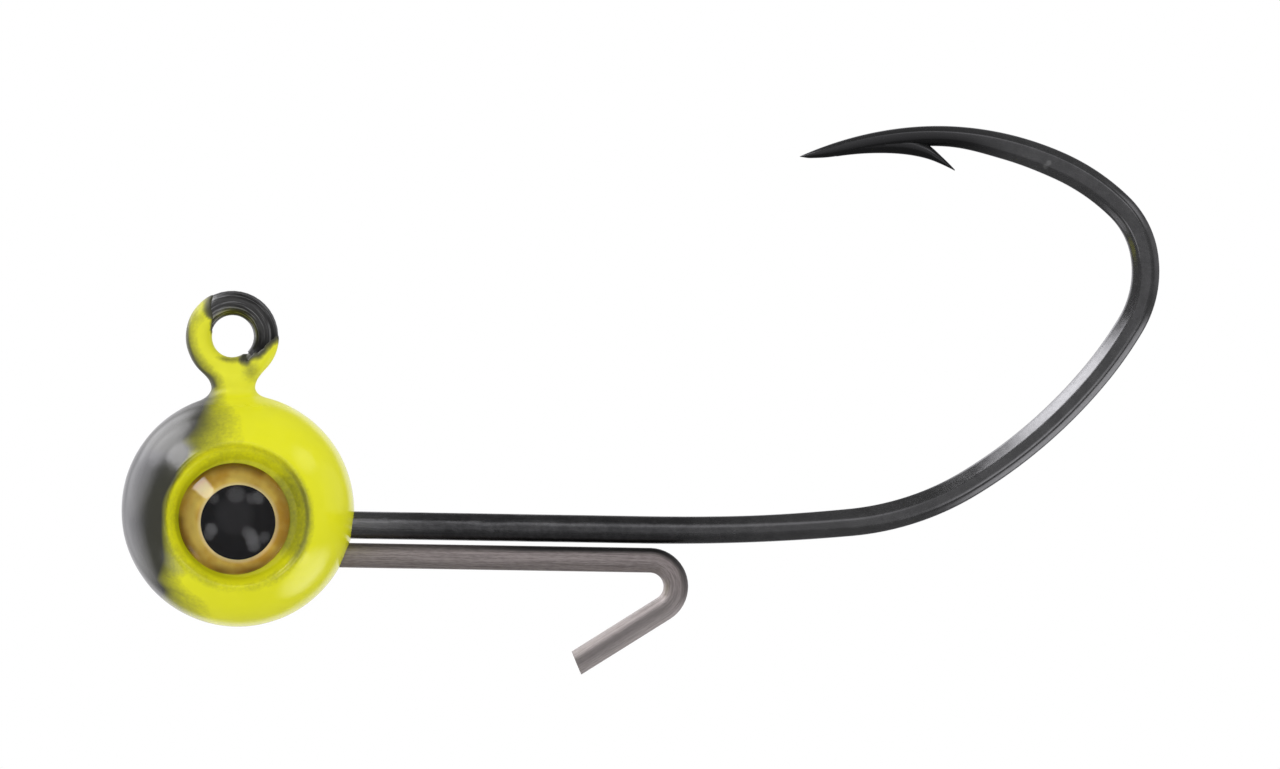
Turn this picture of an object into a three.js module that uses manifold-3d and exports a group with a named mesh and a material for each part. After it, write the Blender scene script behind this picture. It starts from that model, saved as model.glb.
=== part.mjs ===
// Round jig head: a painted alloy ball cast onto a forged hook, with a wire bait keeper under the
// shank and a domed eye on each side. Millimetres, +Z up, +X from the ball towards the bend.
// The hook lies in the XZ plane, and the origin is the middle of the line-tie ring. The design
// below is written about the middle of the ball, and everything is moved by LINE_TIE at the end.
import * as THREE from 'three';
import { mergeVertices } from 'three/addons/utils/BufferGeometryUtils.js';
import Module from 'manifold-3d';

const wasm = await Module();
wasm.setup();

// ---- driving dimensions ----
const LINE_TIE = { x: -0.3, z: 6.25 };     // middle of the ring's hole, from the middle of the ball
const BALL_RADIUS = 4.2;                   // over the paint
const PAINT = 0.1;                         // powder coat on the ball
const FIT = 0.01;                          // gap that keeps touching solids apart

const WIRE = 1.0;                          // hook wire
const SHANK_Z = -0.46;                     // the shank runs a little under the ball's middle
const SHANK_END_X = 14.5;                  // where the straight shank turns into the bend
const ELBOW_RADIUS = 1.0;                  // shank to riser, inside the ball
const RING_RADIUS = 1.21;                  // wire centreline of the line-tie ring
const RING_START = -44;                    // degrees round the ring where the wire's cut end lies
const RING_END = 250;                      // degrees round the ring where the wire leaves it
const RING_PAINT = 0.05;                   // paint is thinner on the wire
const RING_PAINT_FROM = 125;               // degrees; from here round to the neck the ring is painted
const RING_PAINT_TO = 340;

// The bend, as [length, turn in degrees] arcs from the end of the shank to the point.
const BEND = [
  [7.56, 5.8], [4.54, 26.3], [6.02, 19], [2.25, 9.2], [2.61, 39.6], [1.99, 36.7], [2.64, 20.2],
  [6.02, 32.2], [3.41, 16.5],
];
// The wire's section at distances from the point: [distance, depth in the hook's plane, width
// across it, forging]. Forging goes from 0, an oval, to 1, two flat faces with bevelled edges.
// The back of the wire stays WIRE / 2 outside the centreline, so the point lies along its back.
const SECTIONS = [
  [0, 0.03, 0.03, 0], [0.3, 0.22, 0.2, 0.1], [1.15, 0.49, 0.45, 0.4], [2.4, 0.65, 0.6, 0.7],
  [3.6, 0.72, 0.68, 0.9], [5.3, 0.77, 0.72, 1], [7.4, 0.96, 0.78, 1], [9.5, 1.03, 0.75, 1],
  [27, 1.03, 0.82, 1], [33, 0.98, 0.92, 0.15], [37, 1, 1, 0], [54, 1, 1, 0], [57.1, 0.89, 0.87, 0],
  [64, 0.89, 0.87, 0],
];
// How far the forged bevels reach in from the edges: [distance from the point, inner, outer].
const BEVELS = [
  [0, 0.01, 0.01], [3, 0.19, 0.14], [9, 0.26, 0.23], [14, 0.31, 0.26], [18, 0.37, 0.26],
  [27, 0.38, 0.26], [64, 0.38, 0.26],
];
const EDGE = 0.18;                         // thickness left at a bevelled edge, as a share of the width
const CRISPNESS = 12;                      // the higher, the sharper the corners between the faces
// The barb raised from the inner side: [distance from the point, top, bottom, width], with top
// and bottom measured inwards from the back of the wire.
const BARB = [
  [1.2, 0.12, 0.5, 0.4], [2.4, 0.16, 0.72, 0.54], [3.7, 0.3, 0.98, 0.56], [4.5, 0.64, 1.19, 0.48],
  [5.1, 1.14, 1.41, 0.26], [5.6, 1.57, 1.61, 0.04],
];

const KEEPER_WIRE = 0.9;
const KEEPER_START = { x: -1.5, z: -2.95 }; // hidden end of the anchor tail inside the ball
const KEEPER_PATH = [                      // [length, turn in degrees]
  [0.5, 0], [1.414, -90], [15.47, 0], [2.412, -147], [3.7, 0],
];
const KEEPER_CUT = -9.4;                   // degrees that the cropped end is off square

// The collar where the casting grips the riser: [radius over the paint, height].
const COLLAR = [
  [1.12, 3.85], [0.98, 4.1], [0.87, 4.22], [0.81, 4.38], [0.82, 4.6], [0.88, 4.8],
];
const COLLAR_X = -0.24;                    // a touch in front of the ring's own middle
const COLLAR_FLATNESS = 0.85;              // the collar is this much narrower across the hook

// Eye sockets and eyes, in the ball's two sides. Heights are distances out from the hook's plane.
const SOCKET = { x: 0.07, z: -0.26, floorRadius: 2.13, floor: 2.83, rimRadius: 2.61, rim: 3.29 };
const SOCKET_PAINT = 0.08;
const EYE = { x: -0.05, z: -0.28, radius: 2.0 };
const ADHESIVE = { radius: 1.9, from: 2.84, to: 2.94 };
const IRIS = { from: 2.95, to: 3.03, hole: 1.29 };
const PUPIL = { x: 0.11, z: -0.42, radius: 1.26, from: 2.95, to: 3.08 };
const LENS = { from: 3.1, edge: 3.24, top: 3.95, arcSteps: 6 };

const ROUND = 32;                          // sides of the ball, sockets and eyes
const BALL_RINGS = 16;
const WIRE_SIDES = 12;
const BARB_STEPS = 12;
const DEGREES_PER_STEP = 7;                // along a bent wire

// ---- materials ----
const finish = (color, roughness, metalness) =>
  new THREE.MeshStandardMaterial({ color, roughness, metalness });
const CAST_ALLOY = finish(0x8f9194, 0.55, 0.9);
const CHARTREUSE = finish(0xdddd28, 0.25, 0);
const BLACK_NICKEL = finish(0x3c3c40, 0.28, 1);
const STEEL = finish(0x8a8480, 0.35, 1);
const GOLD_FOIL = finish(0xbe9b55, 0.3, 1);
const BLACK_GLOSS = finish(0x1c1c20, 0.15, 0);
const CLEAR = finish(0xf4f6f8, 0.05, 0);
const ADHESIVE_FOAM = finish(0xe6e2d6, 0.8, 0);

// ---- solids ----
const radians = THREE.MathUtils.degToRad;

function toManifold(geometry) {
  geometry.deleteAttribute('normal');
  geometry.deleteAttribute('uv');
  const merged = mergeVertices(geometry, 1e-5);
  return new wasm.Manifold(new wasm.Mesh({
    numProp: 3,
    vertProperties: new Float32Array(merged.attributes.position.array),
    triVerts: new Uint32Array(merged.index.array),
  }));
}

function toMesh(name, solid, material) {
  const { numProp, vertProperties, triVerts } = solid.getMesh();
  const position = new Float32Array((vertProperties.length / numProp) * 3);
  for (let i = 0; i < position.length / 3; i++) {
    for (let axis = 0; axis < 3; axis++) position[3 * i + axis] = vertProperties[numProp * i + axis];
  }
  const geometry = new THREE.BufferGeometry();
  geometry.setAttribute('position', new THREE.BufferAttribute(position, 3));
  geometry.setIndex(new THREE.BufferAttribute(new Uint32Array(triVerts), 1));
  geometry.translate(-LINE_TIE.x, 0, -LINE_TIE.z);
  geometry.computeVertexNormals();
  const mesh = new THREE.Mesh(geometry, material);
  mesh.name = name;
  return mesh;
}

// A wire's centreline in the XZ plane: arcs and straights joined end to end.
// at(distance) gives the place and heading there, and the far end when the distance is too long.
function centreline(start, heading, pieces) {
  const arcs = [];
  let here = { ...start, heading: radians(heading) };
  let from = 0;
  for (const [length, degrees] of pieces) {
    arcs.push({ from, length, turn: radians(degrees), start: here });
    here = along(here, length, radians(degrees), length);
    from += length;
  }
  const at = (distance) => {
    const arc = arcs.findLast((a) => a.from <= distance) ?? arcs[0];
    return along(arc.start, arc.length, arc.turn, Math.min(distance - arc.from, arc.length));
  };
  const steps = arcs.flatMap(({ from: begin, length, turn }) => {
    const count = Math.max(1, Math.ceil(THREE.MathUtils.radToDeg(Math.abs(turn)) / DEGREES_PER_STEP));
    return Array.from({ length: count }, (_, i) => begin + (length * i) / count);
  });
  return { length: from, at, steps: [...steps, from] };
}

// Where an arc of the given length and turn has got to after a distance.
function along(start, length, turn, distance) {
  const bend = (turn * distance) / length;
  const chord = Math.abs(bend) < 1e-9 ? distance : (2 * Math.sin(bend / 2) * distance) / bend;
  return {
    x: start.x + chord * Math.cos(start.heading + bend / 2),
    z: start.z + chord * Math.sin(start.heading + bend / 2),
    heading: start.heading + bend,
  };
}

// A closed body through sections. Each station has a place, a heading, a depth in the XZ plane,
// a width across it, and a shift of its middle to the right of the heading, which is the outer
// side of the hook. Its section is oval unless it gives a forging and the bevels for it.
function loft(stations, sides) {
  const position = [];
  for (const station of stations) {
    const { x, z, heading, depth, width, shift = 0 } = station;
    for (let k = 0; k < sides; k++) {
      const angle = (2 * Math.PI * k) / sides;
      const [cos, sin] = [Math.cos(angle), Math.sin(angle)];
      const reach = sectionReach(station, cos, sin);
      const outward = shift + (depth / 2) * cos * reach;
      position.push(
        x + outward * Math.sin(heading), (width / 2) * sin * reach, z - outward * Math.cos(heading),
      );
    }
  }
  const index = [];
  const last = stations.length - 1;
  for (let i = 0; i < last; i++) {
    for (let k = 0; k < sides; k++) {
      const [a, b] = [i * sides + k, i * sides + ((k + 1) % sides)];
      index.push(a, b, b + sides, a, b + sides, a + sides);
    }
  }
  for (let k = 1; k < sides - 1; k++) {
    index.push(0, k + 1, k, last * sides, last * sides + k, last * sides + k + 1);
  }
  const geometry = new THREE.BufferGeometry();
  geometry.setAttribute('position', new THREE.Float32BufferAttribute(position, 3));
  geometry.setIndex(index);
  return toManifold(geometry);
}

// How far a section reaches in a direction, as a share of the oval that its depth and width give.
function sectionReach({ depth, forging = 0, inner, outer }, cos, sin) {
  if (forging === 0) return 1;
  const bevel = (cos < 0 ? inner : outer) / (depth / 2);
  const along = (Math.abs(cos) * (1 - EDGE) + Math.abs(sin) * bevel) / (1 - EDGE + EDGE * bevel);
  const faces = [Math.abs(cos), Math.abs(sin), along];
  const size = faces.reduce((sum, face) => sum + face ** CRISPNESS, 0) ** (1 / CRISPNESS);
  return THREE.MathUtils.lerp(1, 1 / size, forging);
}

// A smooth curve through a table of rows that each start with a distance. It has no kink at a
// row, and never goes beyond the values on either side.
function lookUp(table, distance) {
  const next = Math.max(1, table.findIndex((row) => row[0] >= distance));
  const [low, high] = [table[next - 1], table[next]];
  const gap = high[0] - low[0];
  const t = (distance - low[0]) / gap;
  return low.map((value, i) => {
    const rise = high[i] - value;
    const [start, end] = [slopeAt(table, next - 1, i) * gap, slopeAt(table, next, i) * gap];
    return value + t * (start + t * (3 * rise - 2 * start - end + t * (start + end - 2 * rise)));
  });
}

// The slope of a column at a row: the harmonic mean of those on its two sides, or 0 where they
// differ in sign.
function slopeAt(table, row, column) {
  const after = (i) => (table[i + 1][column] - table[i][column]) / (table[i + 1][0] - table[i][0]);
  if (row === 0) return after(0);
  if (row === table.length - 1) return after(row - 1);
  const [low, high] = [after(row - 1), after(row)];
  return low * high > 0 ? (2 * low * high) / (low + high) : 0;
}

// ---- hook ----
const ringLength = RING_RADIUS * radians(RING_END - RING_START);
const ringPlace = (degrees) => ({
  x: LINE_TIE.x + RING_RADIUS * Math.cos(radians(degrees)),
  z: LINE_TIE.z + RING_RADIUS * Math.sin(radians(degrees)),
});
// The reverse bend under the ring turns the wire straight down onto the ring's own middle line.
const neckTurn = RING_END - 180;
const neckRadius = (RING_RADIUS * Math.cos(radians(neckTurn))) / (1 - Math.cos(radians(neckTurn)));
const bendLength = BEND.reduce((sum, [length]) => sum + length, 0);
const riserTop = ringPlace(RING_END).z - neckRadius * Math.sin(radians(neckTurn));
const HOOK_LINE = centreline(ringPlace(RING_START), RING_START + 90, [
  [ringLength, RING_END - RING_START],
  [neckRadius * radians(neckTurn), -neckTurn],
  [riserTop - SHANK_Z - ELBOW_RADIUS, 0],
  [ELBOW_RADIUS * radians(90), 90],
  [SHANK_END_X - LINE_TIE.x - ELBOW_RADIUS, 0],
  ...BEND,
]);

// The wire's station at a distance from the point, grown all round by a margin.
function hookStation(fromPoint, margin = 0) {
  const [, depth, width, forging] = lookUp(SECTIONS, fromPoint);
  const [, inner, outer] = lookUp(BEVELS, fromPoint);
  return {
    ...HOOK_LINE.at(HOOK_LINE.length - fromPoint),
    depth: depth + 2 * margin,
    width: width + 2 * margin,
    forging,
    inner,
    outer,
    shift: fromPoint < bendLength ? (WIRE - depth) / 2 : 0,
  };
}

function hookWire(margin = 0) {
  const distances = [
    ...HOOK_LINE.steps.map((s) => HOOK_LINE.length - s),
    ...SECTIONS.map((row) => row[0]).filter((d) => d < HOOK_LINE.length),
  ].sort((a, b) => b - a);
  const spaced = distances.filter((d, i) => i === 0 || distances[i - 1] - d > 0.02);
  return loft(spaced.map((d) => hookStation(d, margin)), WIRE_SIDES);
}

function barb() {
  const [end, start] = [BARB[0][0], BARB.at(-1)[0]];
  const stations = Array.from({ length: BARB_STEPS + 1 }, (_, i) => {
    const fromPoint = THREE.MathUtils.lerp(start, end, i / BARB_STEPS);
    const [, top, bottom, width] = lookUp(BARB, fromPoint);
    return {
      ...HOOK_LINE.at(HOOK_LINE.length - fromPoint),
      depth: bottom - top,
      width,
      shift: (WIRE - top - bottom) / 2,
    };
  });
  return loft(stations, WIRE_SIDES);
}

// ---- bait keeper ----
function keeperWire(margin = 0) {
  const line = centreline(KEEPER_START, 90, KEEPER_PATH);
  const section = { depth: KEEPER_WIRE + 2 * margin, width: KEEPER_WIRE + 2 * margin };
  const stations = line.steps.map((s) => ({ ...line.at(s), ...section }));
  const end = stations.at(-1);
  end.heading += radians(KEEPER_CUT);
  end.depth /= Math.cos(radians(KEEPER_CUT));
  return loft(stations, WIRE_SIDES);
}

// ---- ball, paint and sockets ----
// The ball with its collar and sockets, at a depth under the painted surface.
function head(depth, socketDepth) {
  const ball = toManifold(new THREE.SphereGeometry(BALL_RADIUS - depth, ROUND, BALL_RINGS));
  const profile = [
    new THREE.Vector2(0, COLLAR[0][1]),
    ...COLLAR.map(([radius, z]) => new THREE.Vector2(radius - depth, z)),
    new THREE.Vector2(0, COLLAR.at(-1)[1]),
  ];
  profile.at(-1).y -= depth;
  profile.at(-2).y -= depth;
  const collar = new THREE.LatheGeometry(profile, ROUND).rotateX(Math.PI / 2);
  collar.scale(1, COLLAR_FLATNESS, 1).translate(COLLAR_X, 0, 0);
  return [1, -1].reduce((body, side) => body.subtract(socket(side, socketDepth)),
    ball.add(toManifold(collar)));
}

// A body turned about the Y axis, on the side of the ball that side gives.
function turned(profile, side, { x, z }) {
  const points = profile.map(([radius, y]) => new THREE.Vector2(radius, y));
  const body = new THREE.LatheGeometry(points, ROUND);
  if (side < 0) body.rotateX(Math.PI);
  return toManifold(body.translate(x, 0, z));
}

// The conical eye socket, opening outwards, at a depth under its painted surface.
function socket(side, depth) {
  const slope = (SOCKET.rimRadius - SOCKET.floorRadius) / (SOCKET.rim - SOCKET.floor);
  const radiusAt = (y) => SOCKET.floorRadius + slope * (y - SOCKET.floor) + depth * Math.hypot(1, slope);
  const [floor, mouth] = [SOCKET.floor - depth, BALL_RADIUS + PAINT];
  return turned([[0, floor], [radiusAt(floor), floor], [radiusAt(mouth), mouth], [0, mouth]], side, SOCKET);
}

function ringSleeve() {
  const arc = centreline(ringPlace(RING_PAINT_FROM), RING_PAINT_FROM + 90, [
    [RING_RADIUS * radians(RING_PAINT_TO - RING_PAINT_FROM), RING_PAINT_TO - RING_PAINT_FROM],
  ]);
  const diameter = lookUp(SECTIONS, HOOK_LINE.length)[1] + 2 * RING_PAINT;
  return loft(arc.steps.map((s) => ({ ...arc.at(s), depth: diameter, width: diameter })), WIRE_SIDES);
}

const wires = hookWire(FIT).add(keeperWire(FIT));
const alloyBall = head(PAINT + FIT, SOCKET_PAINT + FIT).subtract(wires);
const paintCoat = head(0, 0).add(ringSleeve()).subtract(head(PAINT, SOCKET_PAINT)).subtract(wires);

// ---- eyes ----
const disc = ({ from, to }, radius) => [[0, from], [radius, from], [radius, to], [0, to]];

// A flat-backed dome: its crown is an arc through the edge and the top.
function lensProfile() {
  const rise = LENS.top - LENS.edge;
  const crown = (EYE.radius ** 2 + rise ** 2) / (2 * rise);
  const sweep = Math.asin(EYE.radius / crown);
  const arc = Array.from({ length: LENS.arcSteps }, (_, i) => {
    const angle = sweep * (1 - i / LENS.arcSteps);
    return [crown * Math.sin(angle), LENS.top - crown + crown * Math.cos(angle)];
  });
  return [[0, LENS.from], [EYE.radius, LENS.from], ...arc, [0, LENS.top]];
}

const eye = (name, side) => [
  toMesh(`${name}_eye_adhesive`, turned(disc(ADHESIVE, ADHESIVE.radius), side, EYE), ADHESIVE_FOAM),
  // The foil's hole follows the pupil, which sits a little off the eye's middle.
  toMesh(`${name}_eye_iris`, turned(disc(IRIS, EYE.radius), side, EYE)
    .subtract(turned(disc({ from: 0, to: BALL_RADIUS }, IRIS.hole), side, PUPIL)), GOLD_FOIL),
  toMesh(`${name}_eye_pupil`, turned(disc(PUPIL, PUPIL.radius), side, PUPIL), BLACK_GLOSS),
  toMesh(`${name}_eye_lens`, turned(lensProfile(), side, EYE), CLEAR),
];

// ---- the jig head ----
const jigHead = new THREE.Group();
jigHead.add(
  toMesh('head_ball', alloyBall, CAST_ALLOY),
  toMesh('paint_coat', paintCoat, CHARTREUSE),
  toMesh('hook', hookWire().add(barb()), BLACK_NICKEL),
  toMesh('bait_keeper', keeperWire(), STEEL),
  ...eye('left', -1),
  ...eye('right', 1),
);

export default jigHead;
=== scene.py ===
# A round jig head: painted ball, forged black hook, wire bait keeper and two domed eyes.
# Shapes are worked out in millimetres from the middle of the ball, in the CAD model's axes, and
# put() moves them into the frame, whose origin is the middle of the line-tie ring. The hook lies in
# the XZ plane, and the photo looks at it along +Y.
import math

import bpy
import numpy as np
from mathutils import Matrix, Vector


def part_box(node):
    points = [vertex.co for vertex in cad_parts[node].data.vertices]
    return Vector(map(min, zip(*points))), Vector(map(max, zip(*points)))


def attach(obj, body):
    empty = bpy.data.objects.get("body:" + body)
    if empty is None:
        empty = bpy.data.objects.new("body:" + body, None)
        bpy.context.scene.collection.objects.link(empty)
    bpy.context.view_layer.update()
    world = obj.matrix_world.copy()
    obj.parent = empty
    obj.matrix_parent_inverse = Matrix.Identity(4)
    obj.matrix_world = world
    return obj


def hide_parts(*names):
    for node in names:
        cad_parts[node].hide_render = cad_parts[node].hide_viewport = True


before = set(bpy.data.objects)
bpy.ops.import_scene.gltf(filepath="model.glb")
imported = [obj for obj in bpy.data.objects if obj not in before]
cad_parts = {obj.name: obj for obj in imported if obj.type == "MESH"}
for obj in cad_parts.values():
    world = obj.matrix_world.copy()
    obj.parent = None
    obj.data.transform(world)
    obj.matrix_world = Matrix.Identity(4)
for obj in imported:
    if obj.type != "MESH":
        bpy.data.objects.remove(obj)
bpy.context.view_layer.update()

# ---- places and sizes, taken from the frame ----
MM = 0.001
coat_low, coat_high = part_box("paint_coat")
BALL_RADIUS = (coat_high.x - coat_low.x) / 2 / MM
BALL = Vector(((coat_low.x + coat_high.x) / 2, 0, coat_low.z + BALL_RADIUS * MM))
RING = -BALL / MM                          # middle of the line-tie ring, from the ball's middle
SKIN = 0.01                                # how far the finished surfaces stay inside the CAD

# ---- hook and keeper, as in the CAD model ----
WIRE = 1.0                                 # diameter of the hook's wire
SHANK_Z = -0.46
SHANK_END_X = 14.5
ELBOW_RADIUS = 1.0
RING_RADIUS = 1.21
RING_START, RING_END = -44, 250            # degrees
# length and turn in degrees of each arc, from the shank to the point
BEND = [
    (7.56, 5.8), (4.54, 26.3), (6.02, 19), (2.25, 9.2), (2.61, 39.6), (1.99, 36.7), (2.64, 20.2),
    (6.02, 32.2), (3.41, 16.5),
]
# distance from the point, depth in the hook's plane, width across it, forging (0 oval, 1 faceted)
SECTIONS = [
    (0, 0.03, 0.03, 0), (0.3, 0.22, 0.2, 0.1), (1.15, 0.49, 0.45, 0.4), (2.4, 0.65, 0.6, 0.7),
    (3.6, 0.72, 0.68, 0.9), (5.3, 0.77, 0.72, 1), (7.4, 0.96, 0.78, 1), (9.5, 1.03, 0.75, 1),
    (27, 1.03, 0.82, 1), (33, 0.98, 0.92, 0.15), (37, 1, 1, 0), (54, 1, 1, 0),
    (57.1, 0.89, 0.87, 0), (64, 0.89, 0.87, 0),
]
# distance from the point, reach of the inner bevel, reach of the outer bevel
BEVELS = [
    (0, 0.01, 0.01), (3, 0.19, 0.14), (9, 0.26, 0.23), (14, 0.31, 0.26), (18, 0.37, 0.26),
    (27, 0.38, 0.26), (64, 0.38, 0.26),
]
EDGE = 0.18                                # flat left between two bevels, as a share of the width
CRISPNESS = 12                             # how sharply the forged faces meet
# distance from the point, top and bottom from the back of the wire, width
BARB = [
    (1.2, 0.12, 0.5, 0.4), (2.4, 0.16, 0.72, 0.54), (3.7, 0.3, 0.98, 0.56), (4.5, 0.64, 1.19, 0.48),
    (5.1, 1.14, 1.41, 0.26), (5.6, 1.57, 1.61, 0.04),
]
KEEPER_WIRE = 0.9                          # diameter
KEEPER_START = (-1.5, -2.95)
KEEPER_PATH = [(0.5, 0), (1.414, -90), (15.47, 0), (2.412, -147), (3.7, 0)]
KEEPER_CUT = -9.4                          # degrees that the cut end is off square

# ---- how finely the wires are divided ----
TIP_LENGTH, TIP_SECTIONS = 0.3, 5          # from the point
FINE_LENGTH, FINE_STEP = 10, 0.1           # and on past the barb
HOOK_STEP, KEEPER_STEP = 0.18, 0.12
BARB_SECTIONS, BARB_SIDES = 44, 32
WIRE_SIDES = 64

# ---- collar, sockets and eyes ----
COLLAR_X = -0.24
COLLAR = [(3.7, 0.9), (4.1, 0.82), (4.38, 0.79), (4.6, 0.82), (4.9, 0.88)]   # height, radius
COLLAR_FLATNESS = 0.85
COLLAR_ROOT = 1                            # how far below its lowest radius it runs into the ball
SOCKET_X, SOCKET_Z = 0.07, -0.26
SOCKET_FLOOR, SOCKET_FLOOR_RADIUS = 2.83, 2.13
SOCKET_RIM, SOCKET_RIM_RADIUS = 3.29, 2.61
RIM_LINE, RIM_LINE_WIDTH, RIM_GROOVE = 2.52, 0.08, 0.02   # a fine groove just inside the rim
GROOVE_REACH = 0.6                         # how far below the socket's floor the groove fades out
EYE_X, EYE_Z, EYE_RADIUS = -0.05, -0.28, 2.0
PUPIL_X, PUPIL_Z, PUPIL_RADIUS = 0.11, -0.42, 1.26
PUPIL_BOTTOM, PUPIL_EDGE, PUPIL_RISE = 2.97, 3.0, 0.1
LENS_BOTTOM, LENS_EDGE, LENS_TOP = 2.945, 3.12, 3.95
FOIL_INNER, FOIL_OUTER = PUPIL_RADIUS - 0.3, EYE_RADIUS - 0.02
# radius, then height above the middle of the ball
PAD_PROFILE = [(0, 2.85), (1.86, 2.85), (1.9, 2.87), (1.9, 2.92), (1.86, 2.94), (0, 2.94)]
# a shallow dish whose floor carries the pupil
FOIL_PROFILE = [
    (FOIL_INNER, 2.96), (1.6, 2.96), (FOIL_OUTER, 3.0), (FOIL_OUTER, 3.06), (1.75, 3.05),
    (FOIL_INNER, 2.99),
]
PUPIL_STEPS, LENS_STEPS, EYE_SIDES = 12, 24, 96

# ---- the coat's surface ----
COLLAR_ROUNDING, COLLAR_FILLET = 0.5, 0.4
SOCKET_ROUNDING, RIM_ROUNDING = 0.05, 0.11
BARE_TUBE = 0.39                           # where the ring is bare, the coat hides inside its wire
RING_COAT = 0.08                           # and where it is painted, it rises from there by this
RING_COAT_EDGE = (-0.05, 0.07)
RING_FILLET, BARE_FILLET = 0.34, 0.02      # into the collar
RING_LUMPS, BALL_LUMPS = 0.008, 0.004
# edges of the ring's bare stretch: the way in, a point on it from the ring's middle, and an offset
BARE_EDGES = [
    ((1, 0), (-0.72, 0), 0), ((-0.62, 0.78), (0.886, -0.69), 0.12), ((0.64, 0.77), (-0.77, 0.3), 0),
]
HEAD_STEP = 0.07   # side of a cell in the grid that the coat is meshed on
HEAD_MARGIN = 3                            # cells round the ball
RING_TOP = 1.9                             # top of the grid, above the ring's middle

# ---- where the black was sprayed, and the painted shade along the sockets' rims ----
# height, then how far right the black is solid, and how far right its overspray reaches
SPRAY_EDGE = [
    (-4.2, -2.7, -0.6), (-3.3, -2.9, -0.95), (-2.9, -2.6, -1.5), (-2.5, -2.85, -1.85),
    (-2.1, -2.72, -1.5), (-1.65, -2.57, -1.75), (-1.1, -2.6, -1.98), (-0.5, -2.66, -2.15),
    (0.05, -2.69, -2.12), (0.65, -2.54, -1.96), (1.1, -2.28, -1.7), (1.5, -2.08, -1.55),
    (2, -1.75, -1.15), (2.2, -1.75, -0.5), (2.45, -2, 0.4), (2.7, -1.75, 0.3), (3, -1.55, 0.25),
    (3.3, -1.5, 0.25), (3.6, -1.35, 0), (4, -1.2, -0.35), (4.6, -1.1, -0.5), (4.8, -1.25, -0.58),
    (5, -1.45, -0.75), (5.2, -1.6, -0.92), (5.5, -1.8, -1.18), (6, -2.05, -1.4), (6.5, -2.25, -1.4),
    (7, -2.4, -1.05), (8.2, -2.4, -1.05),
]
SPRAY_WAVE = 0.05
SOLID_COVER, DEEP_COVER = 0.984, 0.016     # at the solid edge, and what is added well inside it
DEEP = (1.2, 3.5)                          # in widths of the fade
# degrees round the socket, then how dark the overspray is on its wall, and how dark the line along
# its rim is: overspray caught in the rim's groove, with painted shade of the groove
SOCKET_SOOT_AND_SHADE = [
    (-180, 0.15, 0), (-150, 0, 0.2), (-120, 0, 0.3), (-90, 0, 0.13), (-60, 0, 0.3),
    (-42, 0.05, 0.36), (-27, 0.46, 0.7), (0, 0.52, 0.76), (20, 0.55, 0.78), (38, 0.48, 0.62),
    (55, 0.13, 0.3), (75, 0.08, 0.15), (100, 0.12, 0.1), (140, 0.04, 0), (180, 0.15, 0),
]
SOCKET_EDGE = 0.12                         # over which the wall's soot gives way to the ball's
# the dark line along the rim is overspray in the rim's groove and painted shade of the groove
RIM_SOOT_AND_SHADE, RIM_SOOT_AND_SHADE_WIDTH = 2.5, 0.17       # radius and width of the dark line along the rim
NECK, RING_FOOT = (3.4, 4.4), (4.4, 4.7)   # heights over which the neck and the ring begin
# The marks on the neck and the ring: first how dark each is. A turn is how squarely the surface
# faces the nose or the ring's hole, and places are from the ring's middle.
NOSE_EDGE, NOSE_X, NOSE_Z, NOSE_TURN = 0.93, -0.9, -0.44, (0.35, 0.8)
LIP, LIP_TURN, LIP_DEPTH = 0.62, (0.4, 0.8), (0.66, 0.84)
SPOT, SPOT_X, SPOT_Z, SPOT_WIDTH, SPOT_HEIGHT = 0.5, 0.7, -1.22, 0.26, 0.32
SMUDGE, SMUDGE_FALL = 0.97, 3
SMUDGE_WIDTH = 0.3                         # right of the middle
SMUDGE_LEFT, SMUDGE_SPREAD, SMUDGE_RISE = 0.14, 0.36, (0.5, 0.95)   # left of it, wider upwards

# ---- where the wires' looks change ----
INNER_SIDE = 0.5                           # in turns: inside the hook's bend, on top of the keeper
NEAR_SIDE = 0.75                           # and the side towards the camera
# distances from the hook's point
FORGED, DARK_POINT, DARK_BARB, SHANK_HIGHLIGHT, SMOOTH = (38, 30), (9, 4), (8, 5.5), (47.5, 44), (46, 34)
# distances from the cut end of the ring's wire
CUT_END, SCRATCHED = (0.5, 1.3), (6.0, 8.5)
NICK_X, NICK_Z = 28.92, 12.92              # a small scrape on the bend
NICK_REACH_X, NICK_REACH_Z = 0.06, 0.065   # half its length
NICK_FADE = (0.04, 0.13)
# distances along the keeper from its tail: the leg, and where the painted shade along the top,
# under the shank, fades in and out
LEG, TOP_SHADE_START, TOP_SHADE_END = (18.2, 20.2), (8.0, 14.0), (17.5, 20.0)

# ---- colours ----
YELLOWS = (0.84, 0.84, 0.013, 1), (0.92, 0.91, 0.019, 1)
BLACK_PAINT = (0.036, 0.036, 0.038, 1)
DRAWN_NICKEL = (0.105, 0.105, 0.107, 1), (0.15, 0.15, 0.152, 1)
FORGED_NICKEL = (0.115, 0.115, 0.117, 1), (0.14, 0.14, 0.142, 1)
# painted highlight on the shank near the head, for the brighter, lumpy reflection of its clear coat
NICKEL_HIGHLIGHT = (0.28, 0.28, 0.28, 1)
POINT_NICKEL = (0.075, 0.075, 0.077, 1)
BARB_NICKEL = (0.03, 0.03, 0.031, 1)
SCRATCHED_NICKEL = (0.1, 0.1, 0.097, 1), (0.42, 0.42, 0.42, 1)
CUT_NICKEL = (0.03, 0.03, 0.03, 1)
NICKED_NICKEL = (0.4, 0.4, 0.4, 1)
SPRING_WIRE = (0.23, 0.2, 0.196, 1), (0.42, 0.37, 0.362, 1)
# painted highlight on the keeper's bent-back leg, and painted shade along its middle
SPRING_LEG_HIGHLIGHT = (0.66, 0.63, 0.61, 1)
SPRING_LEG_SHADE = (0.16, 0.145, 0.142, 1)
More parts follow.
